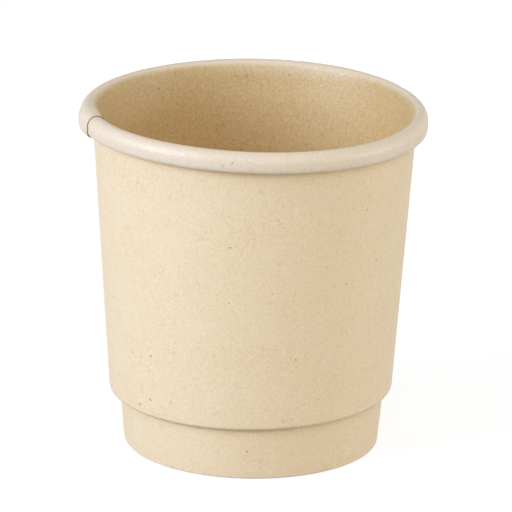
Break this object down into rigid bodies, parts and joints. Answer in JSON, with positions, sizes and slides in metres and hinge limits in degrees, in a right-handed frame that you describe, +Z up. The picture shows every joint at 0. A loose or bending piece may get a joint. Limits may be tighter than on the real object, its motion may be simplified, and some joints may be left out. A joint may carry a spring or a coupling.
{
  "type": "double-wall paper cup",
  "caption": "Small double-wall paper cup with a rolled rim, a recessed base and a plain outer sleeve that leaves an insulating air gap.",
  "frame": {"origin": "middle of the foot ring, on the surface that the cup stands on", "axes": "+Z up along the cup's axis to the rim; -Y is the front that the picture shows, +X is to its right; the seam of the inner wall meets the rim on the left and the sleeve's seam is at the back"},
  "size_m": [0.062, 0.062, 0.0623],
  "materials": {
    "sleeve_board": "uncoated natural board, matt, with fine fibres and flecks",
    "cup_board": "natural board with a satin barrier coating",
    "base_board": "natural board with a satin barrier coating",
    "seal_film": "fused barrier coating",
    "glue": "dried cold glue"
  },
  "bodies": {
    "root": {"inner_wall": "cup_board", "base_disc": "base_board", "wall_seam_seal": "seal_film", "base_outer_seal": "seal_film", "base_inner_seal": "seal_film", "outer_sleeve": "sleeve_board", "sleeve_top_glue": "glue", "sleeve_foot_glue": "glue", "sleeve_seam_glue": "glue"}
  },
  "joints": []
}
